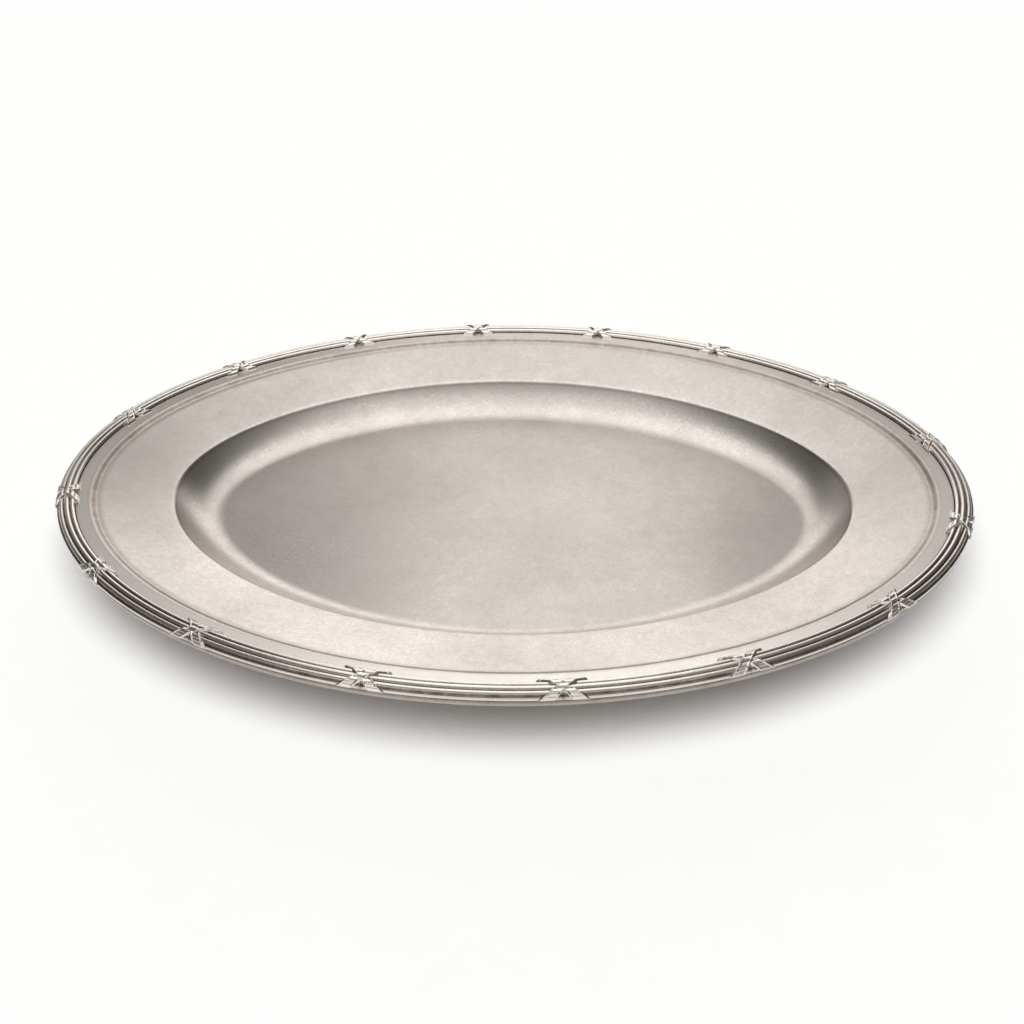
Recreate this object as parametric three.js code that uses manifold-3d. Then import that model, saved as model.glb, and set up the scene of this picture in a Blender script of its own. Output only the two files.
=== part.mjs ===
// Oval serving plate in plated metal. One pressed sheet makes the floor, the well wall, the broad
// flange and the rim. A border of four reeds, made in lengths, sits in a seat round the rim, and
// sixteen crossed ribbon ties cover the joints between those lengths.
//
// Millimetres. Origin on the table under the middle of the floor, +X along the oval, +Z up.
// "Inset" is the distance in from the widest line of the border, square to it. Heights are
// measured from the table.

import * as THREE from "three";
import { mergeVertices } from "three/addons/utils/BufferGeometryUtils.js";
import Module from "manifold-3d";

const wasm = await Module();
wasm.setup();

// Outline
const HALF_LENGTH = 203.2;
const HALF_WIDTH = 152.4;
const FULLNESS = 0.8; // how far the ends and the middles of the sides stand out of a true ellipse
const WELL_END_INSET = 1.2; // the well is this much shorter at each end than the flange would make it

// Heights
const CREST = 27.3; // top of the border
const SHEET = 1.3; // thickness of the pressed sheet
const FLOOR_TOP = SHEET;

// Rim seat, under the border
const RIM_INSET = 0.55;
const RIM_BOTTOM = CREST - 5.6;
const RIM_HEM = 1.7; // width of the turned down edge
const SEAT_TOP = CREST - 3.15;
const SEAT_INNER = 7.7;
const LIP_START = 7.95;
const LIP_START_TOP = CREST - 1.9;

// Lip, step and flange
const LIP_END = 13.1;
const LIP_END_TOP = CREST - 2.5;
const STEP_END = 17.0;
const STEP_END_TOP = CREST - 4.25;
const WELL_INSET = 47.0;
const WELL_EDGE_TOP = CREST - 12.6;
const WELL_ROLL = 0.8; // half width of the rounded turn from flange to well wall
const FLOOR_INSET = 68;
const WALL_HOLLOW = 2; // how quickly the well wall flattens into the floor, 1 is straight

// Border
const BORDER_BOTTOM = CREST - 2.9;
const BORDER_INNER = 7.45;
const BORDER_OUTER = 0.3;
const GROOVES = [
  [BORDER_INNER, CREST - 1.75],
  [5.45, CREST - 0.65],
  [3.05, CREST - 0.75],
  [0.85, CREST - 1.15],
  [BORDER_OUTER, BORDER_BOTTOM],
];
const REED_HEIGHTS = [0.95, 0.9, 0.9, 0.6]; // how far each reed stands out between its grooves
const REED_STEPS = [0, 0.18, 0.5, 0.82, 1];

// Ribbon ties
const TIE_COUNT = 16;
const TIE_INSET = 3.7;
const TIE_PHASE = 0.42; // place of the first tie, as a share of the spacing, from the +X end
// How far each tie was set off the even spacing by hand, starting with the first.
const TIE_SLIP = [1, 1, 0, -1, -0.5, 0, 0.5, -0.5, 6, 2.5, -2.5, -0.5, 1, -1, -0.5, 0];
const BUTT_GAP = 0.6; // between two lengths of border, under a tie
const TIE_CLEAR = 0.3; // between a tie and the reeds it lies on
const RIBBON = 0.5; // thickness of the ribbon
const TIP_REACH = 6.2; // middle of a ribbon tip, along the border from the middle of the tie
const TIP_HALF = 3.1; // half width of a ribbon at its tips
const WAIST_HALF = 2.6; // half width of a ribbon where the two cross
const BEVEL = 0.45; // the ribbon's top is this much narrower at each side
// Line over the reeds that a tie follows, from the outer tip to the inner one.
const TIE_LINE = [
  [0, CREST - 2.55],
  [0, CREST - 1.7],
  [0.95, CREST - 0.25],
  [1.95, CREST],
  [4.25, CREST + 0.22],
  [6.3, CREST - 0.2],
  [7.75, CREST - 1.25],
  [8.3, CREST - 1.9],
  [9.2, CREST - 2.02],
];

// Fineness
const ROUND_STEPS = 104;
const SECTION_STEPS = 7;
const WALL_STEPS = 7;
const STEP_STEPS = 4;
const ARC_DIVISIONS = 720;
const WELD = 1e-4;

const silver = (roughness, shade) =>
  new THREE.MeshStandardMaterial({
    color: new THREE.Color(0.8, 0.78, 0.75).multiplyScalar(shade),
    roughness,
    metalness: 1,
  });

// Point on the oval at turn 0..1 from +X, moved in by inset.
function ovalPoint(turn, inset) {
  const angle = turn * 2 * Math.PI;
  const inward = new THREE.Vector2(-HALF_WIDTH * Math.cos(angle), -HALF_LENGTH * Math.sin(angle));
  inward.normalize().multiplyScalar(inset - FULLNESS * Math.cos(4 * angle));
  const point = new THREE.Vector2(HALF_LENGTH * Math.cos(angle), HALF_WIDTH * Math.sin(angle));
  point.add(inward);
  const drawnIn = THREE.MathUtils.smoothstep(inset, STEP_END, WELL_INSET) * WELL_END_INSET;
  point.x *= 1 - drawnIn / (HALF_LENGTH - inset);
  return point;
}

class OvalLine extends THREE.Curve {
  constructor(inset) {
    super();
    this.inset = inset;
    this.arcLengthDivisions = ARC_DIVISIONS;
  }
  getPoint(turn) {
    const point = ovalPoint(turn, this.inset);
    return new THREE.Vector3(point.x, point.y, 0);
  }
}

const tieLine = new OvalLine(TIE_INSET);
const tieLineLength = tieLine.getLength();
const spacing = tieLineLength / TIE_COUNT;

// Turn of the place at a distance along the tie line, counted on past a full turn.
function turnAt(distance) {
  const laps = Math.floor(distance / tieLineLength);
  return laps + tieLine.getUtoTmapping(distance / tieLineLength - laps);
}

function tieDistance(index) {
  const laps = Math.floor(index / TIE_COUNT);
  const slip = TIE_SLIP[index - laps * TIE_COUNT];
  return (index + TIE_PHASE) * spacing + slip;
}

// A geometry's triangles on shared vertices, each vertex moved by move.
function reshape(geometry, move) {
  geometry.deleteAttribute("normal");
  geometry.deleteAttribute("uv");
  const place = geometry.getAttribute("position");
  for (let i = 0; i < place.count; i++) {
    const point = move(new THREE.Vector3().fromBufferAttribute(place, i));
    place.setXYZ(i, point.x, point.y, point.z);
  }
  const welded = mergeVertices(geometry, WELD);
  welded.computeVertexNormals();
  return welded;
}

// Top of the pressed sheet as [inset, height], from the rim in to the edge of the floor.
function sheetTop() {
  const line = [
    [RIM_INSET, SEAT_TOP],
    [SEAT_INNER, SEAT_TOP],
    [LIP_START, LIP_START_TOP],
  ];
  for (let i = 0; i <= STEP_STEPS; i++) {
    const share = i / STEP_STEPS;
    const drop = THREE.MathUtils.smoothstep(share, 0, 1);
    line.push([
      THREE.MathUtils.lerp(LIP_END, STEP_END, share),
      THREE.MathUtils.lerp(LIP_END_TOP, STEP_END_TOP, drop),
    ]);
  }
  return line.concat(wellTop());
}

// Rounded turn into the well, then the well wall down to the floor.
function wellTop() {
  const slope = (STEP_END_TOP - WELL_EDGE_TOP) / (WELL_INSET - STEP_END);
  const wallHeight = WELL_EDGE_TOP - FLOOR_TOP;
  const wall = (inset) => {
    const share = (inset - WELL_INSET) / (FLOOR_INSET - WELL_INSET);
    return FLOOR_TOP + wallHeight * Math.pow(1 - share, WALL_HOLLOW);
  };
  const turnFrom = new THREE.Vector2(WELL_INSET - WELL_ROLL, WELL_EDGE_TOP + slope * WELL_ROLL);
  const turnTo = new THREE.Vector2(WELL_INSET + WELL_ROLL, wall(WELL_INSET + WELL_ROLL));
  const turn = new THREE.QuadraticBezierCurve(
    turnFrom,
    new THREE.Vector2(WELL_INSET, WELL_EDGE_TOP),
    turnTo,
  );
  const line = turn.getPoints(3).map((point) => [point.x, point.y]);
  for (let i = 1; i <= WALL_STEPS; i++) {
    const inset = THREE.MathUtils.lerp(turnTo.x, FLOOR_INSET, i / WALL_STEPS);
    line.push([inset, wall(inset)]);
  }
  return line;
}

// Underside: the top line set down by the sheet's thickness, square to it, with the edge turned down.
function sheetUnder(top) {
  const line = [
    [RIM_INSET, RIM_BOTTOM],
    [RIM_INSET + RIM_HEM, RIM_BOTTOM],
    [RIM_INSET + RIM_HEM + 0.5, SEAT_TOP - SHEET],
    [SEAT_INNER - 0.5, SEAT_TOP - SHEET],
  ];
  for (let i = 3; i < top.length - 1; i++) {
    const along = new THREE.Vector2(top[i + 1][0] - top[i - 1][0], top[i + 1][1] - top[i - 1][1]);
    along.normalize();
    line.push([top[i][0] + along.y * SHEET, top[i][1] - along.x * SHEET]);
  }
  line.push([FLOOR_INSET, 0]);
  return line;
}

function plateBody() {
  const top = sheetTop();
  const round = [[HALF_WIDTH, 0]]
    .concat(sheetUnder(top).reverse())
    .concat(top)
    .concat([[HALF_WIDTH, FLOOR_TOP]]);
  const profile = round.map(([inset, height]) => new THREE.Vector2(HALF_WIDTH - inset, height));
  const lathe = new THREE.LatheGeometry(profile, ROUND_STEPS);
  const geometry = reshape(lathe, (point) => {
    const radius = Math.hypot(point.x, point.z);
    if (radius < WELD) return new THREE.Vector3(0, 0, point.y);
    const turn = Math.atan2(point.x, point.z) / (2 * Math.PI);
    const spot = ovalPoint(turn, HALF_WIDTH - radius);
    return new THREE.Vector3(spot.x, spot.y, point.y);
  });
  return geometry;
}

// Section of the border, with inset along x and height along y.
function borderShape() {
  const shape = new THREE.Shape();
  shape.moveTo(BORDER_OUTER, BORDER_BOTTOM);
  shape.lineTo(BORDER_INNER, BORDER_BOTTOM);
  for (let reed = 0; reed < REED_HEIGHTS.length; reed++) {
    const from = new THREE.Vector2(...GROOVES[reed]);
    const to = new THREE.Vector2(...GROOVES[reed + 1]);
    const chord = to.clone().sub(from);
    const out = new THREE.Vector2(chord.y, -chord.x).normalize();
    for (const share of REED_STEPS.slice(0, -1)) {
      const rise = REED_HEIGHTS[reed] * Math.sqrt(Math.max(0, 1 - (2 * share - 1) ** 2));
      shape.lineTo(
        from.x + chord.x * share + out.x * rise,
        from.y + chord.y * share + out.y * rise,
      );
    }
  }
  shape.closePath();
  return shape;
}

// One length of border, from just past one tie's middle to just short of the next one's.
function borderSection(index) {
  const from = tieDistance(index) + BUTT_GAP / 2;
  const to = tieDistance(index + 1) - BUTT_GAP / 2;
  const straight = new THREE.ExtrudeGeometry(borderShape(), {
    depth: 1,
    steps: SECTION_STEPS,
    bevelEnabled: false,
  });
  return reshape(straight, (point) => {
    const spot = ovalPoint(turnAt(THREE.MathUtils.lerp(from, to, point.z)), point.x);
    return new THREE.Vector3(spot.x, spot.y, point.y);
  });
}

// One ribbon of a tie, crossing the border from its outer edge to just over its inner one.
// side is 1 or -1, the way it leans.
function ribbon(distance, side) {
  const line = TIE_LINE.map(([inset, height]) => new THREE.Vector2(inset, height));
  const squares = line.map((point, i) => {
    const along = line[Math.min(i + 1, line.length - 1)].clone().sub(line[Math.max(i - 1, 0)]);
    return new THREE.Vector2(-along.y, along.x).normalize();
  });
  const section = new THREE.Shape();
  section.moveTo(-1, 0);
  section.lineTo(1, 0);
  section.lineTo(1 - BEVEL / TIP_HALF, 1);
  section.lineTo(BEVEL / TIP_HALF - 1, 1);
  section.closePath();
  const steps = line.length - 1;
  const straight = new THREE.ExtrudeGeometry(section, { depth: 1, steps, bevelEnabled: false });
  return reshape(straight, (point) => {
    const row = Math.round(point.z * steps);
    const spread = 2 * point.z - 1;
    const half = THREE.MathUtils.lerp(WAIST_HALF, TIP_HALF, spread * spread);
    const lean = side * TIP_REACH * spread;
    const lift = TIE_CLEAR + point.y * RIBBON;
    const inset = line[row].x + squares[row].x * lift;
    const height = line[row].y + squares[row].y * lift;
    const spot = ovalPoint(turnAt(distance + lean - point.x * half), inset);
    return new THREE.Vector3(spot.x, spot.y, height);
  });
}

function solid(geometry) {
  const mesh = new wasm.Mesh({
    numProp: 3,
    vertProperties: geometry.getAttribute("position").array,
    triVerts: new Uint32Array(geometry.index.array),
  });
  return new wasm.Manifold(mesh);
}

function ribbonTie(index) {
  const distance = tieDistance(index);
  const joined = solid(ribbon(distance, 1)).add(solid(ribbon(distance, -1))).getMesh();
  const geometry = new THREE.BufferGeometry();
  geometry.setAttribute("position", new THREE.BufferAttribute(joined.vertProperties, 3));
  geometry.setIndex(new THREE.BufferAttribute(joined.triVerts, 1));
  geometry.computeVertexNormals();
  return geometry;
}

const plate = new THREE.Group();

function addPiece(name, geometry, material) {
  const mesh = new THREE.Mesh(geometry, material);
  mesh.name = name;
  plate.add(mesh);
}

addPiece("plate_body", plateBody(), silver(0.38, 1));
for (let i = 0; i < TIE_COUNT; i++) {
  const number = String(i + 1).padStart(2, "0");
  addPiece("reed_section_" + number, borderSection(i), silver(0.33, 0.96));
  addPiece("ribbon_tie_" + number, ribbonTie(i), silver(0.35, 1.04));
}

export default plate;
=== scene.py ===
import math

import bpy
import numpy as np
from mathutils import Matrix, Vector


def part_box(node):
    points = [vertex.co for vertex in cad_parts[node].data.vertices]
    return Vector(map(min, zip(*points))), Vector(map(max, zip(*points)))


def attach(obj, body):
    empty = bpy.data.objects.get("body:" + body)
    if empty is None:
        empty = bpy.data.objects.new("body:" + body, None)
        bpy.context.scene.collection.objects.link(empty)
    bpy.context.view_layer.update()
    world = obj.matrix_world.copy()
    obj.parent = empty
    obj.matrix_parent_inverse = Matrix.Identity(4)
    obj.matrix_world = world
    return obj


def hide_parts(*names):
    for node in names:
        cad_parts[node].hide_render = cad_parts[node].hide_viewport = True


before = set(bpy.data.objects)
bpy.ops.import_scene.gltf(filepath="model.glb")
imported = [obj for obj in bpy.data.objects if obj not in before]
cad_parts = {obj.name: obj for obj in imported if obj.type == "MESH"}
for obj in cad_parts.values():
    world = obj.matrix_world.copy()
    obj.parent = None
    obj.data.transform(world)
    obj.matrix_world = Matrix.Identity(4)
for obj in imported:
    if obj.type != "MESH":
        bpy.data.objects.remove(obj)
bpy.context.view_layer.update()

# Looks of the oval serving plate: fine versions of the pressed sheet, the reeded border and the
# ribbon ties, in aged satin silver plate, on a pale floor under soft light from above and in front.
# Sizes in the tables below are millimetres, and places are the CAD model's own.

MM = 0.001
SHEET_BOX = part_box("plate_body")
LIP_BELOW_CREST = 1.9
RIM_INSET = 0.55
FULLNESS = 0.8
CREST = SHEET_BOX[1][2] / MM + LIP_BELOW_CREST
HALF_LENGTH = SHEET_BOX[1][0] / MM + RIM_INSET - FULLNESS
HALF_WIDTH = SHEET_BOX[1][1] / MM + RIM_INSET - FULLNESS
WELL_END_INSET = 1.2

# Pressed sheet
SHEET = 1.3
FLOOR_TOP = SHEET
RIM_BOTTOM = CREST - 5.6
RIM_HEM = 1.7
SEAT_TOP = CREST - 3.15
SEAT_INNER = 7.5
LIP_START = 7.58
LIP_END = 13.1
LIP_END_TOP = CREST - 2.5
STEP_END = 17.0
STEP_END_TOP = CREST - 4.25
WELL_INSET = 47.0
WELL_EDGE_TOP = CREST - 12.6
WELL_ROLL = 0.8
FLOOR_INSET = 68.0
WALL_HOLLOW = 2.0
SHEET_ROUND = 640
LIP_ROWS = (7.95, 8.15, 8.4, 8.7, 9.2, 10.0, 11.0, 12.0)
FLANGE_ROWS = (19, 24, 30, 37, 44)
FLOOR_SHARES = (0.93, 0.82, 0.68, 0.52, 0.35, 0.18, 0.06)
RIM_POINTS = 5
OPEN_FLOOR = FLOOR_INSET + 20
SEAT_HIDDEN = SEAT_INNER + 0.1
RIM_EDGE = 1.0
# insets where the lip's lighter band, polish wear and painted sheen, fades in and out
POLISH_AND_SHEEN_START = (7.6, 8.6)
POLISH_AND_SHEEN_END = (12.6, 14.2)
SHEET_TARNISH_AND_SHADE = (  # inset, half width and strength of each brown line: tarnish at the seam, painted shade along the step and at the well's edge
    (LIP_START, 0.4, 0.65),
    (15.1, 1.2, 1.0),
    (WELL_INSET + 0.7, 0.5, 0.5),
)

# Border
BORDER_BOTTOM = CREST - 2.9
BORDER_OUTER = 0.3
BORDER_INNER = 7.45
GROOVES = [
    (BORDER_INNER, CREST - 1.75),
    (5.45, CREST - 0.65),
    (3.05, CREST - 0.75),
    (0.85, CREST - 1.15),
    (BORDER_OUTER, BORDER_BOTTOM),
]
REED_HEIGHTS = (0.95, 0.9, 0.9, 0.6)
GROOVE_STAINS = (0.14, 0.34, 0.42, 0.55, 0.26)
REED_STEPS = 18
SECTION_STEPS = 56
REED_SQUARENESS = 2.1
REED_FULLNESS = 0.8
TIE_SHADE = 0.4
TIE_SHADE_REACH = 3.0

# Ribbon ties
TIE_COUNT = 16
TIE_INSET = 3.7
TIE_PHASE = 0.42
TIE_SLIP = (1, 1, 0, -1, -0.5, 0, 0.5, -0.5, 6, 2.5, -2.5, -0.5, 1, -1, -0.5, 0)
BUTT_GAP = 0.06
TIE_LINE = [
    (0.0, CREST - 2.55),
    (0.0, CREST - 1.7),
    (0.95, CREST - 0.25),
    (1.95, CREST),
    (4.25, CREST + 0.22),
    (6.3, CREST - 0.2),
    (7.75, CREST - 1.25),
    (8.3, CREST - 1.8),
    (9.3, CREST - 2.0),
]
TIP_REACH = 6.2
TIP_HALF = 3.1
WAIST_HALF = 2.4
RIBBON = 0.5
RIBBON_SAG = 0.6
TIE_REACH = 10.2
TIE_SPARE = 0.03
TIE_ACROSS = 110
TIE_ALONG = 72
PATH_STEPS = 241
PATH_SMOOTHING = 60
PATH_END = 8
ARM_THICKER = 0.4
CROSSING_LIFT = 0.22
CROSSING_REACH = 0.35
EDGE_SLOPE = 0.8
EDGE_ROUNDING = 0.26
ROLL_HEIGHT = 0.24
ROLL_PLACE = 0.5
ROLL_WIDTH = 0.34
TIE_FOOT = -1.4
TIE_BACK = -1.5
TIE_MARGIN = 0.4
# painted shade, with some patina, along the ribbon's edges
OUTLINE_PATINA_AND_SHADE = 0.3
# painted shade where the ribbon dips into the grooves
SAG_SHADE = 0.65


def smoothstep(value, low, high):
    share = np.clip((value - low) / (high - low), 0, 1)
    return share * share * (3 - 2 * share)


def oval(turn, inset):
    """Points on the oval at turns 0..1 from +X, moved in by inset, as an array with x and y last."""
    angle, inset = np.broadcast_arrays(np.asarray(turn, float) * 2 * np.pi, np.asarray(inset, float))
    inward = np.stack([-HALF_WIDTH * np.cos(angle), -HALF_LENGTH * np.sin(angle)], -1)
    inward /= np.linalg.norm(inward, axis=-1, keepdims=True)
    point = np.stack([HALF_LENGTH * np.cos(angle), HALF_WIDTH * np.sin(angle)], -1)
    point = point + inward * (inset - FULLNESS * np.cos(4 * angle))[..., None]
    drawn_in = smoothstep(inset, STEP_END, WELL_INSET) * WELL_END_INSET
    point[..., 0] *= 1 - drawn_in / (HALF_LENGTH - inset)
    return point


LINE_TURNS = np.linspace(0, 1, 7201)
LINE_POINTS = oval(LINE_TURNS, TIE_INSET)
LINE_LENGTHS = np.r_[0, np.cumsum(np.linalg.norm(np.diff(LINE_POINTS, axis=0), axis=1))]
LINE_LENGTH = LINE_LENGTHS[-1]


def turn_at(distance):
    """Turn of the place at a distance along the tie line, in mm, counted on past a full turn."""
    laps = np.floor(np.asarray(distance) / LINE_LENGTH)
    return laps + np.interp(distance - laps * LINE_LENGTH, LINE_LENGTHS, LINE_TURNS)


def tie_distance(index):
    return (index + TIE_PHASE) * LINE_LENGTH / TIE_COUNT + TIE_SLIP[index % TIE_COUNT]


def add_mesh(name, points, faces, values, material):
    """A smooth piece from points in mm, faces, and a dict of values per point for its material."""
    mesh = bpy.data.meshes.new(name)
    mesh.from_pydata((np.asarray(points) * MM).tolist(), [], faces)
    mesh.validate()
    for key, numbers in values.items():
        attribute = mesh.attributes.new(key, "FLOAT", "POINT")
        attribute.data.foreach_set("value", np.asarray(numbers, np.float32).ravel())
    mesh.polygons.foreach_set("use_smooth", [True] * len(mesh.polygons))
    mesh.materials.append(material)
    piece = bpy.data.objects.new(name, mesh)
    bpy.context.collection.objects.link(piece)
    return piece


def ring_faces(rows, columns, closed_columns=True):
    faces = []
    for row in range(rows - 1):
        for column in range(columns if closed_columns else columns - 1):
            a = row * columns + column
            b = row * columns + (column + 1) % columns
            c = (row + 1) * columns + (column + 1) % columns
            d = (row + 1) * columns + column
            faces.append((a, b, c, d))
    return faces


# Pressed sheet

def well_line():
    """Flange's end, the rounded turn into the well, and the wall down to the floor."""
    slope = (STEP_END_TOP - WELL_EDGE_TOP) / (WELL_INSET - STEP_END)
    depth = WELL_EDGE_TOP - FLOOR_TOP

    def wall(inset):
        return FLOOR_TOP + depth * (1 - (inset - WELL_INSET) / (FLOOR_INSET - WELL_INSET)) ** WALL_HOLLOW

    start = (WELL_INSET - WELL_ROLL, WELL_EDGE_TOP + slope * WELL_ROLL)
    end = (WELL_INSET + WELL_ROLL, wall(WELL_INSET + WELL_ROLL))
    line = []
    for share in np.linspace(0, 1, 9):
        weights = ((1 - share) ** 2, 2 * share * (1 - share), share ** 2)
        corner = (WELL_INSET, WELL_EDGE_TOP)
        line.append([sum(w * p[axis] for w, p in zip(weights, (start, corner, end))) for axis in (0, 1)])
    for inset in np.linspace(end[0], FLOOR_INSET, 25)[1:]:
        line.append([inset, wall(inset)])
    return line


def sheet_top():
    line = [[RIM_INSET, SEAT_TOP - 0.25], [RIM_INSET + 0.2, SEAT_TOP], [SEAT_INNER, SEAT_TOP]]
    line += [[LIP_START - 0.05, CREST - LIP_BELOW_CREST - 0.25], [LIP_START + 0.2, CREST - LIP_BELOW_CREST]]
    for inset in LIP_ROWS:
        share = (inset - LIP_START) / (LIP_END - LIP_START)
        line.append([inset, CREST - LIP_BELOW_CREST + (LIP_END_TOP - CREST + LIP_BELOW_CREST) * share])
    for share in np.linspace(0, 1, 13):
        drop = smoothstep(share, 0, 1)
        line.append([
            LIP_END + (STEP_END - LIP_END) * share,
            LIP_END_TOP + (STEP_END_TOP - LIP_END_TOP) * drop,
        ])
    for inset in FLANGE_ROWS:
        share = (inset - STEP_END) / (WELL_INSET - STEP_END)
        line.append([inset, STEP_END_TOP + (WELL_EDGE_TOP - STEP_END_TOP) * share])
    return np.array(line + well_line())


def sheet_under(top):
    rim = [
        [RIM_INSET, RIM_BOTTOM + 0.2],
        [RIM_INSET + 0.2, RIM_BOTTOM],
        [RIM_INSET + RIM_HEM, RIM_BOTTOM],
        [RIM_INSET + RIM_HEM + 0.5, SEAT_TOP - SHEET],
        [SEAT_INNER - 0.5, SEAT_TOP - SHEET],
    ]
    along = np.gradient(top, axis=0)
    along /= np.linalg.norm(along, axis=1)[:, None]
    under = top + np.stack([along[:, 1], -along[:, 0]], -1) * SHEET
    return np.vstack([rim, under[RIM_POINTS:-1], [[FLOOR_INSET, 0]]])


def build_sheet(material):
    top = sheet_top()
    under = sheet_under(top)
    profile = np.vstack([top[::-1], under])
    turns = np.arange(SHEET_ROUND) / SHEET_ROUND
    rings = [np.c_[oval(turns, inset), np.full(SHEET_ROUND, height)] for inset, height in profile]
    insets = [inset for inset, _ in profile]
    above = [rings[0] * [share, share, 1] for share in FLOOR_SHARES[::-1]]
    below = [rings[-1] * [share, share, 1] for share in FLOOR_SHARES]
    rings = above + rings + below
    insets = [OPEN_FLOOR] * len(above) + insets + [-1] * len(below)
    points = np.vstack(rings + [[[0, 0, FLOOR_TOP]], [[0, 0, 0]]])
    faces = [face[::-1] for face in ring_faces(len(rings), SHEET_ROUND)]
    middle_top = len(points) - 2
    last = (len(rings) - 1) * SHEET_ROUND
    for column in range(SHEET_ROUND):
        after = (column + 1) % SHEET_ROUND
        faces.append((middle_top, column, after))
        faces.append((middle_top + 1, last + after, last + column))
    seen = len(above) + len(top)
    tarnish_and_shade = np.zeros(len(points))
    dull = np.zeros(len(points))
    worn_and_sheen = np.zeros(len(points))
    for row, inset in enumerate(insets):
        here = slice(row * SHEET_ROUND, (row + 1) * SHEET_ROUND)
        if row < seen:
            # lighter band on the lip: partly polish wear, partly painted sheen
            worn_and_sheen[here] = smoothstep(inset, *POLISH_AND_SHEEN_START) * (1 - smoothstep(inset, *POLISH_AND_SHEEN_END))
            # brown tarnish at the seam, painted shade along the step and at the well's edge
            tarnish_and_shade[here] = max(
                strength * math.exp(-(((inset - at) / width) ** 2)) for at, width, strength in SHEET_TARNISH_AND_SHADE
            )
            if inset < SEAT_HIDDEN:
                tarnish_and_shade[here] = 1
                dull[here] = 1 if inset < RIM_EDGE else 0
        else:
            dull[here] = 1
    values = {"tarnish_and_shade": tarnish_and_shade, "dull": dull, "worn_and_sheen": worn_and_sheen}
    piece = add_mesh("fine_sheet", points, faces, values, material)
    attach(piece, "root")
    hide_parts("plate_body")
    return piece


# Border

def border_line():
    """Closed section of the border as points, and how deep in a groove each point is, 0 to 1."""
    points = []
    depth = []
    for reed, rise in enumerate(REED_HEIGHTS):
        start = np.array(GROOVES[reed])
        chord = np.array(GROOVES[reed + 1]) - start
        width = np.linalg.norm(chord)
        out = np.array([chord[1], -chord[0]]) / width
        for share in np.linspace(0, 1, REED_STEPS, endpoint=False):
            swell = (1 - abs(2 * share - 1) ** REED_SQUARENESS) ** REED_FULLNESS
            points.append(start + chord * share + out * rise * swell)
            before = math.exp(-((width * share / GROOVE_STAINS[reed]) ** 2))
            after = math.exp(-((width * (1 - share) / GROOVE_STAINS[reed + 1]) ** 2))
            depth.append(max(before, after))
    points.append(np.array(GROOVES[-1]))
    points.append(np.array([BORDER_OUTER + 0.2, BORDER_BOTTOM]))
    points.append(np.array([BORDER_INNER, BORDER_BOTTOM]))
    return np.array(points), np.array(depth + [1.0, 1.0, 1.0])


def build_section(index, material):
    line, depth = border_line()
    start = tie_distance(index) + BUTT_GAP / 2
    end = tie_distance(index + 1) - BUTT_GAP / 2
    turns = turn_at(np.linspace(start, end, SECTION_STEPS))
    place = oval(turns[:, None], line[None, :, 0])
    height = np.broadcast_to(line[:, 1], place.shape[:2])
    points = np.concatenate([place, height[..., None]], -1).reshape(-1, 3)
    count = len(line)
    faces = ring_faces(SECTION_STEPS, count)
    first = tuple(range(count))[::-1]
    last = tuple(range((SECTION_STEPS - 1) * count, SECTION_STEPS * count))
    faces += [first, last]
    along = np.linspace(start, end, SECTION_STEPS)
    near_tie = np.minimum(along - start, end - along)
    # painted shade on the reeds beside each tie, joined with the groove patina
    shade = TIE_SHADE * np.exp(-((near_tie / TIE_SHADE_REACH) ** 2))
    tarnish_and_shade = np.maximum(depth[None, :], shade[:, None]).ravel()
    number = f"{index + 1:02d}"
    values = {"tarnish_and_shade": tarnish_and_shade, "dull": np.zeros(len(points))}
    piece = add_mesh("fine_reeds_" + number, points, faces, values, material)
    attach(piece, "root")
    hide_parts("reed_section_" + number)
    return piece


# Ribbon ties

def reed_drop(inset):
    """How far the reeds lie below the line over their crests, at an inset."""
    edges = [groove[0] for groove in GROOVES][::-1]
    drop = np.zeros_like(inset)
    for low, high in zip(edges[:-1], edges[1:]):
        share = np.clip((inset - low) / (high - low), 0, 1)
        inside = (inset >= low) & (inset < high)
        drop = np.where(inside, np.abs(2 * share - 1) ** 2.5, drop)
    return drop


def ribbon_height(edge, thickness, over):
    """Height of one ribbon at a distance in from its edge: a rolled edge round a flatter middle."""
    side = np.where(edge < 0, edge * EDGE_SLOPE, 0)
    body = thickness * (1 - np.exp(-np.clip(edge, 0, None) / EDGE_ROUNDING))
    roll = ROLL_HEIGHT * np.exp(-(((edge - ROLL_PLACE) / ROLL_WIDTH) ** 2))
    return side + body + roll + over


def close_under(faces, count):
    """Faces of a skin closed by a copy of itself, count points further on, and walls between them."""
    single = {}
    for face in faces:
        for a, b in zip(face, face[1:] + face[:1]):
            if (b, a) in single:
                del single[b, a]
            else:
                single[a, b] = True
    under = [tuple(corner + count for corner in face[::-1]) for face in faces]
    walls = [(b, a, a + count, b + count) for a, b in single]
    return faces + under + walls


def tie_path(share):
    """Points of the ribbon's middle line, inset and height, at shares of its length, and that length."""
    line = np.array(TIE_LINE)
    lengths = np.r_[0, np.cumsum(np.linalg.norm(np.diff(line, axis=0), axis=1))]
    fine = np.linspace(0, 1, PATH_STEPS)
    smooth = np.stack([np.interp(fine * lengths[-1], lengths, line[:, axis]) for axis in (0, 1)], -1)
    for _ in range(PATH_SMOOTHING):
        smooth[1:-1] = (smooth[:-2] + 2 * smooth[1:-1] + smooth[2:]) / 4
    before = smooth[0] + (smooth[0] - smooth[PATH_END])
    after = smooth[-1] + (smooth[-1] - smooth[-1 - PATH_END])
    ends = np.vstack([before, smooth, after])
    fine = np.r_[fine[0] - fine[PATH_END], fine, fine[-1] + fine[PATH_END]]
    return np.stack([np.interp(share, fine, ends[:, axis]) for axis in (0, 1)], -1), lengths[-1]


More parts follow.
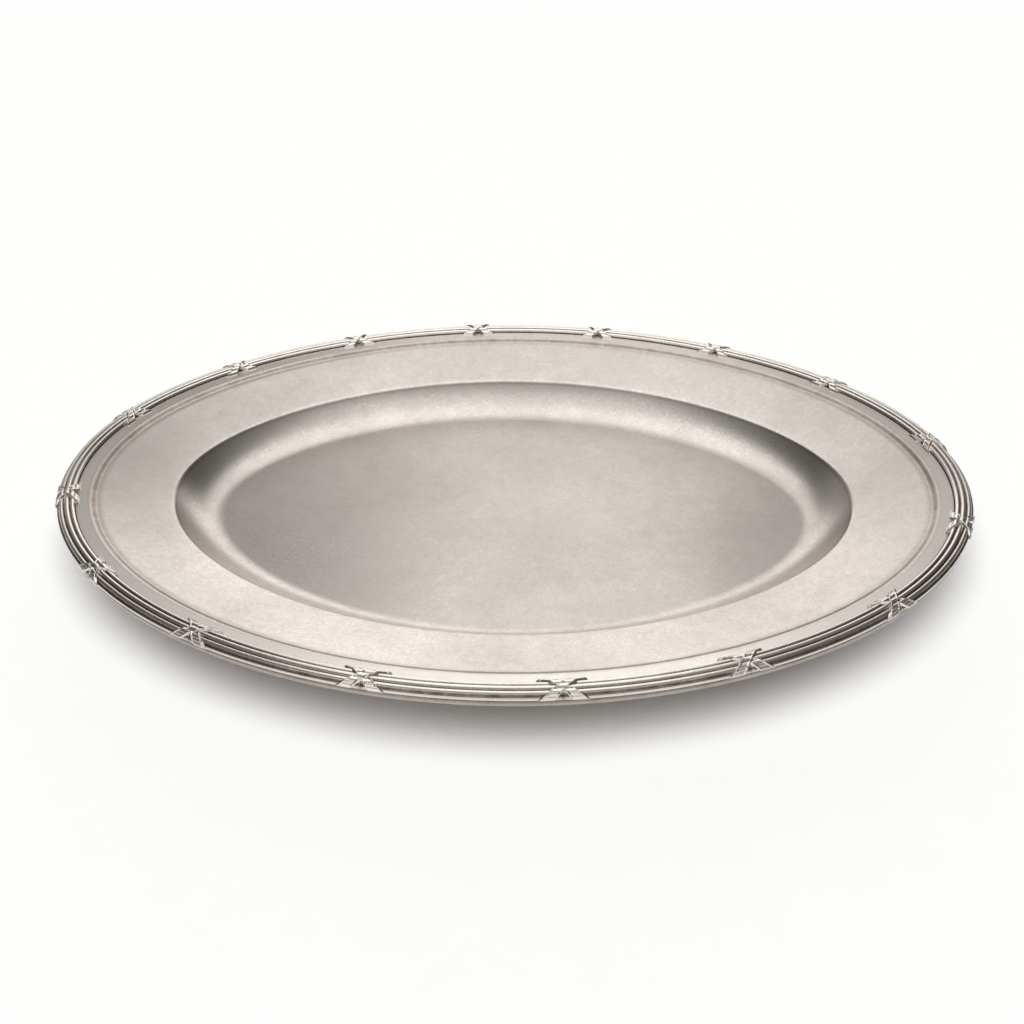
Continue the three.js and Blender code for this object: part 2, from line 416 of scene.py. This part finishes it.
def tie_surface(share, across, path, length):
    """Lift of the crossed ribbons off their path, distance in from their edge, and sag into the grooves."""
    spread = 2 * share[:, None] - 1
    half = WAIST_HALF + (TIP_HALF - WAIST_HALF) * spread ** 2
    edge_end = (np.minimum(share, 1 - share) * length)[:, None]
    edge_a = np.minimum(half - np.abs(across - TIP_REACH * spread), edge_end)
    edge_b = np.minimum(half - np.abs(across + TIP_REACH * spread), edge_end)
    crossing = CROSSING_LIFT * np.exp(-((spread / CROSSING_REACH) ** 2))
    thickness = RIBBON + ARM_THICKER * smoothstep(spread, 0.05, 0.5)
    top = np.maximum(ribbon_height(edge_a, thickness, crossing), ribbon_height(edge_b, thickness, 0))
    inside = np.maximum(edge_a, edge_b)
    sag = RIBBON_SAG * reed_drop(path[:, 0])[:, None] * smoothstep(inside, 0.25, 1.3)
    return np.maximum(top - sag, TIE_FOOT), inside, sag


def tie_faces(keep):
    """Faces of the tie's grid that touch a kept point, renumbered to the grid points that they use."""
    faces = [
        face[::-1]
        for face in ring_faces(TIE_ALONG, TIE_ACROSS, closed_columns=False)
        if any(keep[corner] for corner in face)
    ]
    used = sorted({corner for face in faces for corner in face})
    renumber = {old: new for new, old in enumerate(used)}
    return [tuple(renumber[corner] for corner in face) for face in faces], used


def build_tie(index, material):
    share = np.linspace(-TIE_SPARE, 1 + TIE_SPARE, TIE_ALONG)
    across = np.linspace(-TIE_REACH, TIE_REACH, TIE_ACROSS)
    path, length = tie_path(share)
    along = np.gradient(path, axis=0)
    square = np.stack([-along[:, 1], along[:, 0]], -1) / np.linalg.norm(along, axis=1)[:, None]
    lift, inside, sag = tie_surface(share, across, path, length)
    turns = turn_at(tie_distance(index) + across)[None, :]

    def lifted(lift):
        inset = path[:, 0][:, None] + square[:, 0][:, None] * lift
        height = path[:, 1][:, None] + square[:, 1][:, None] * lift
        return np.concatenate([oval(turns, inset), height[..., None]], -1).reshape(-1, 3)

    faces, used = tie_faces((inside > -TIE_MARGIN).ravel())
    points = np.vstack([lifted(lift)[used], lifted(np.full_like(lift, TIE_BACK))[used]])
    faces = close_under(faces, len(used))
    # painted shade, with some patina, along the ribbon's edges
    outline = OUTLINE_PATINA_AND_SHADE * (1 - smoothstep(inside, -0.3, -0.12))
    # painted shade where the ribbon dips into the grooves, over the painted edge shade
    tarnish_and_shade = np.clip(outline + SAG_SHADE * (sag / RIBBON_SAG) ** 1.5, 0, 1).ravel()[used]
    tarnish_and_shade = np.r_[tarnish_and_shade, tarnish_and_shade]
    number = f"{index + 1:02d}"
    values = {"tarnish_and_shade": tarnish_and_shade, "dull": np.zeros(len(points))}
    piece = add_mesh("fine_tie_" + number, points, faces, values, material)
    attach(piece, "root")
    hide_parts("ribbon_tie_" + number)
    return piece


# Materials

CLOUD = (14, 5, 0.6, 0.4)  # scale, detail, roughness and distortion of a noise
MOTTLE = (120, 4, 0.65, 1.2)
SPECK = (900, 3, 0.6, 0.0)
SCRATCH = (1, 3, 0.7, 1.2)
SCRATCH_WAYS = (((90, 1300, 60), 33), ((80, 1200, 60), -21))
CLOUD_TONE = (0.35, 0.7, 0, 0.4)  # range of a noise, and range of the tone that it gives
MOTTLE_TONE = (0.35, 0.7, 0, 0.24)
SPECK_TONE = (0.3, 0.7, 0, 0.34)
SCRATCH_TONE = (0.12, 0.4, 0, 0.08)
SPECK_ROUGH = (0.3, 0.7, -0.02, 0.03)
UNEVEN_STAIN_AND_SHADE = (0.3, 0.65, 0.75, 1.0)
# share and colour of the lip's lighter band: polish wear with painted sheen
POLISH_AND_SHEEN_SHARE = 0.42
POLISHED_AND_SHEEN = (0.93, 0.88, 0.83)
DULL_ROUGHER = 0.8 * 0.25
SPECK_RELIEF = 0.5
SCRATCH_RELIEF = 0.3
RELIEF_DEPTH = 0.00012

def add_noise(nodes, links, coordinates, scale, detail, rough=0.55, distortion=0.0):
    noise = nodes.new("ShaderNodeTexNoise")
    noise.inputs["Scale"].default_value = scale
    noise.inputs["Detail"].default_value = detail
    noise.inputs["Roughness"].default_value = rough
    noise.inputs["Distortion"].default_value = distortion
    links.new(coordinates, noise.inputs["Vector"])
    return noise.outputs["Fac"]


def stretch(nodes, links, coordinates, scale, turn):
    mapping = nodes.new("ShaderNodeMapping")
    mapping.inputs["Scale"].default_value = scale
    mapping.inputs["Rotation"].default_value = (0, 0, math.radians(turn))
    links.new(coordinates, mapping.inputs["Vector"])
    return mapping.outputs["Vector"]


def map_range(nodes, links, value, low, high, to_low, to_high):
    node = nodes.new("ShaderNodeMapRange")
    node.inputs["From Min"].default_value = low
    node.inputs["From Max"].default_value = high
    node.inputs["To Min"].default_value = to_low
    node.inputs["To Max"].default_value = to_high
    links.new(value, node.inputs["Value"])
    return node.outputs["Result"]


def combine(nodes, links, operation, a, b):
    node = nodes.new("ShaderNodeMath")
    node.operation = operation
    for socket, value in zip(node.inputs, (a, b)):
        if isinstance(value, (int, float)):
            socket.default_value = value
        else:
            links.new(value, socket)
    return node.outputs["Value"]


def blend_colors(nodes, links, share, a, b):
    node = nodes.new("ShaderNodeMix")
    node.data_type = "RGBA"
    links.new(share, node.inputs["Factor"])
    for socket, value in ((node.inputs["A"], a), (node.inputs["B"], b)):
        if isinstance(value, tuple):
            socket.default_value = (*value, 1)
        else:
            links.new(value, socket)
    return node.outputs["Result"]


def read_values(nodes, key):
    node = nodes.new("ShaderNodeAttribute")
    node.attribute_name = key
    return node.outputs["Fac"]


def silver(name, bright, cloudy, brown, roughness, grain):
    """Aged silver plate: cloudy tone, fine crossing scratches, lighter polish with painted sheen where a
    piece's worn values say, and brown tarnish and painted shade where its tarnish values say.
    """
    material = bpy.data.materials.new(name)
    material.use_nodes = True
    nodes = material.node_tree.nodes
    links = material.node_tree.links
    shader = nodes["Principled BSDF"]
    shader.inputs["Metallic"].default_value = 1.0
    place = nodes.new("ShaderNodeTexCoord").outputs["Object"]
    cloud = add_noise(nodes, links, place, *CLOUD)
    mottle = add_noise(nodes, links, place, *MOTTLE)
    speck = add_noise(nodes, links, place, *SPECK)
    scratches = [
        add_noise(nodes, links, stretch(nodes, links, place, scale, turn), *SCRATCH)
        for scale, turn in SCRATCH_WAYS
    ]
    scratch = combine(nodes, links, "MULTIPLY", *scratches)
    broad = combine(nodes, links, "ADD", map_range(nodes, links, cloud, *CLOUD_TONE),
                    map_range(nodes, links, mottle, *MOTTLE_TONE))
    fine = combine(nodes, links, "ADD", map_range(nodes, links, speck, *SPECK_TONE),
                   map_range(nodes, links, scratch, *SCRATCH_TONE))
    tone = combine(nodes, links, "ADD", broad, fine)

    uneven = map_range(nodes, links, mottle, *UNEVEN_STAIN_AND_SHADE)
    # brown for real tarnish and for painted shade alike, made uneven by the mottle
    stain_and_shade = combine(nodes, links, "MULTIPLY", read_values(nodes, "tarnish_and_shade"), uneven)
    # lighter lip: partly polish wear, partly painted sheen
    polish_and_sheen = combine(nodes, links, "MULTIPLY", read_values(nodes, "worn_and_sheen"), POLISH_AND_SHEEN_SHARE)
    color = blend_colors(nodes, links, tone, bright, cloudy)
    color = blend_colors(nodes, links, polish_and_sheen, color, POLISHED_AND_SHEEN)
    color = blend_colors(nodes, links, stain_and_shade, color, brown)
    links.new(color, shader.inputs["Base Color"])

    matte = combine(nodes, links, "MULTIPLY", read_values(nodes, "dull"), DULL_ROUGHER)
    rough = map_range(nodes, links, tone, 0, 1, roughness - 0.05, roughness + 0.07)
    rough = combine(nodes, links, "ADD", rough, map_range(nodes, links, speck, *SPECK_ROUGH))
    rough = combine(nodes, links, "ADD", rough, matte)
    links.new(rough, shader.inputs["Roughness"])

    relief = combine(nodes, links, "ADD", combine(nodes, links, "MULTIPLY", speck, SPECK_RELIEF),
                     combine(nodes, links, "MULTIPLY", scratch, SCRATCH_RELIEF))
    bump = nodes.new("ShaderNodeBump")
    bump.inputs["Strength"].default_value = grain
    bump.inputs["Distance"].default_value = RELIEF_DEPTH
    links.new(relief, bump.inputs["Height"])
    links.new(bump.outputs["Normal"], shader.inputs["Normal"])
    return material


def floor_material():
    material = bpy.data.materials.new("pale_floor")
    material.use_nodes = True
    nodes = material.node_tree.nodes
    links = material.node_tree.links
    shader = nodes["Principled BSDF"]
    shader.inputs["Roughness"].default_value = 0.9
    shader.inputs["Specular IOR Level"].default_value = 0.1
    place = nodes.new("ShaderNodeTexCoord").outputs["Object"]
    speck = add_noise(nodes, links, place, 60, 3)
    color = blend_colors(nodes, links, speck, (0.9, 0.9, 0.895), (0.92, 0.92, 0.915))
    links.new(color, shader.inputs["Base Color"])
    return material


# Studio

FLOOR_SIZE = 12.0
NOMINAL_HALF = 0.2032  # half of a 16 inch plate's length, in metres
CAMERA_RISE = 31.1985
CAMERA_BEARING = 4.8355
CAMERA_DISTANCE = 2.4423 * NOMINAL_HALF
CAMERA_ROLL = -1.0937
AIM_RIGHT = 0.0055 * NOMINAL_HALF
AIM_NEAR = 0.2027 * NOMINAL_HALF
SENSOR = 36
LENS = 1.057177734375 * SENSOR
FLOOR_LIGHT_TILT = 17
FLOOR_LIGHT_SPREAD = 64
FLOOR_LIGHT_STRENGTH = 2.8
STUDIO_DIM = 0.08
STUDIO_CARDS = (  # bearing from the back, height, spread, all in degrees, and strength
    (0, 6, 35, 1.42),
    (-35, 8, 35, 0.32),
    (-130, 10, 50, 0.2),
    (130, 10, 50, 0.1),
    (0, 32, 30, 0.2),
    (90, 38, 40, 0.03),
    (90, 65, 35, 0.1),
    (180, 60, 35, 0.2),
    (0, 88, 40, 0.15),
)
SOFTBOXES = (  # name, middle and size in metres, radiance, and what it faces, or None for straight down
    ("softbox", (-0.04, 0.25, 0.58), (0.5, 0.5), 1.42, None),
    ("back_softbox", (0.0, 0.68, 0.58), (0.4, 0.3), 0.9, None),
    ("front_softbox", (0.0, -0.14, 0.58), (0.6, 0.26), 0.9, None),
    ("front_card", (0.0, -1.3, 0.55), (2.6, 0.9), 0.9, (0.0, 0.0, 0.0)),
)


def add_floor():
    bpy.ops.mesh.primitive_plane_add(size=FLOOR_SIZE, location=(0, 0, 0))
    floor = bpy.context.object
    floor.name = "floor"
    floor.data.materials.append(floor_material())
    return floor


def add_camera():
    rise, bearing, roll = map(math.radians, (CAMERA_RISE, CAMERA_BEARING, CAMERA_ROLL))
    middle = Vector((0, 0, CREST * MM))
    back = Vector((math.sin(bearing) * math.cos(rise), -math.cos(bearing) * math.cos(rise), math.sin(rise)))
    side = Vector((math.cos(bearing), math.sin(bearing), 0))
    away = Vector((-math.sin(bearing), math.cos(bearing), 0))
    spot = middle + back * CAMERA_DISTANCE
    aim = middle + side * AIM_RIGHT - away * AIM_NEAR
    forward = (aim - spot).normalized()
    right = forward.cross(Vector((0, 0, 1))).normalized()
    up = right.cross(forward)
    turned_right = right * math.cos(roll) + up * math.sin(roll)
    turned_up = up * math.cos(roll) - right * math.sin(roll)
    axes = Matrix((turned_right, turned_up, -forward)).transposed()
    data = bpy.data.cameras.new("camera")
    data.lens = LENS
    data.sensor_width = SENSOR
    data.clip_start = 0.01
    camera = bpy.data.objects.new("camera", data)
    camera.matrix_world = Matrix.Translation(spot) @ axes.to_4x4()
    bpy.context.collection.objects.link(camera)
    bpy.context.scene.camera = camera


def add_softbox(name, middle, size, radiance, aim, floor):
    """A card of light, facing down or at a point, that leaves the floor to the floor light."""
    data = bpy.data.lights.new(name, "AREA")
    data.shape = "RECTANGLE"
    data.size, data.size_y = size
    data.energy = radiance * math.pi * size[0] * size[1]
    lamp = bpy.data.objects.new(name, data)
    lamp.location = middle
    if aim is not None:
        lamp.rotation_euler = (Vector(aim) - Vector(middle)).to_track_quat("-Z", "Y").to_euler()
    lamp.visible_camera = False
    bpy.context.collection.objects.link(lamp)
    group = bpy.data.collections.new(name + "_skips")
    group.objects.link(floor)
    group.collection_objects[0].light_linking.link_state = "EXCLUDE"
    lamp.light_linking.receiver_collection = group


def add_floor_light(floor):
    """Broad soft light on the floor alone, from above and a little in front."""
    data = bpy.data.lights.new("floor_light", "SUN")
    data.angle = math.radians(FLOOR_LIGHT_SPREAD)
    data.energy = FLOOR_LIGHT_STRENGTH
    lamp = bpy.data.objects.new("floor_light", data)
    lamp.rotation_euler = (math.radians(FLOOR_LIGHT_TILT), 0, 0)
    bpy.context.collection.objects.link(lamp)
    group = bpy.data.collections.new("floor_light_on")
    group.objects.link(floor)
    lamp.light_linking.receiver_collection = group


def add_world():
    """Dim studio with soft cards round it, as STUDIO_CARDS says, and white behind for the camera."""
    world = bpy.data.worlds.new("studio")
    bpy.context.scene.world = world
    world.use_nodes = True
    nodes = world.node_tree.nodes
    links = world.node_tree.links
    ground = nodes["Background"]
    ground.inputs["Color"].default_value = (1.0, 0.99, 0.975, 1)
    way = nodes.new("ShaderNodeTexCoord").outputs["Generated"]
    strength = STUDIO_DIM
    for bearing, height, spread, glow in STUDIO_CARDS:
        bearing, height = math.radians(bearing), math.radians(height)
        toward = nodes.new("ShaderNodeVectorMath")
        toward.operation = "DOT_PRODUCT"
        toward.inputs[1].default_value = (
            math.sin(bearing) * math.cos(height),
            math.cos(bearing) * math.cos(height),
            math.sin(height),
        )
        links.new(way, toward.inputs[0])
        card = nodes.new("ShaderNodeMapRange")
        card.interpolation_type = "SMOOTHSTEP"
        card.inputs["From Min"].default_value = math.cos(math.radians(spread))
        card.inputs["To Max"].default_value = glow
        links.new(toward.outputs["Value"], card.inputs["Value"])
        strength = combine(nodes, links, "ADD", card.outputs["Result"], strength)
    links.new(strength, ground.inputs["Strength"])
    seen = nodes.new("ShaderNodeBackground")
    seen.inputs["Color"].default_value = (1, 1, 1, 1)
    rays = nodes.new("ShaderNodeLightPath")
    mix = nodes.new("ShaderNodeMixShader")
    links.new(rays.outputs["Is Camera Ray"], mix.inputs["Fac"])
    links.new(ground.outputs["Background"], mix.inputs[1])
    links.new(seen.outputs["Background"], mix.inputs[2])
    links.new(mix.outputs["Shader"], nodes["World Output"].inputs["Surface"])


SHEET_SILVER = silver(
    "silver_sheet",
    bright=(0.685, 0.638, 0.594),
    cloudy=(0.455, 0.42, 0.386),
    brown=(0.21, 0.172, 0.138),
    roughness=0.30,
    grain=0.45,
)
REED_SILVER = silver(
    "silver_reeds",
    bright=(0.85, 0.795, 0.735),
    cloudy=(0.72, 0.665, 0.61),
    brown=(0.085, 0.058, 0.038),
    roughness=0.27,
    grain=0.03,
)
RIBBON_SILVER = silver(
    "silver_ribbon",
    bright=(0.85, 0.80, 0.745),
    cloudy=(0.72, 0.67, 0.62),
    brown=(0.11, 0.08, 0.055),
    roughness=0.26,
    grain=0.04,
)

build_sheet(SHEET_SILVER)
for number in range(TIE_COUNT):
    build_section(number, REED_SILVER)
    build_tie(number, RIBBON_SILVER)

floor = add_floor()
add_camera()
add_world()
for softbox in SOFTBOXES:
    add_softbox(*softbox, floor)
add_floor_light(floor)
bpy.context.scene.view_settings.view_transform = "Standard"
bpy.context.scene.view_settings.look = "None"
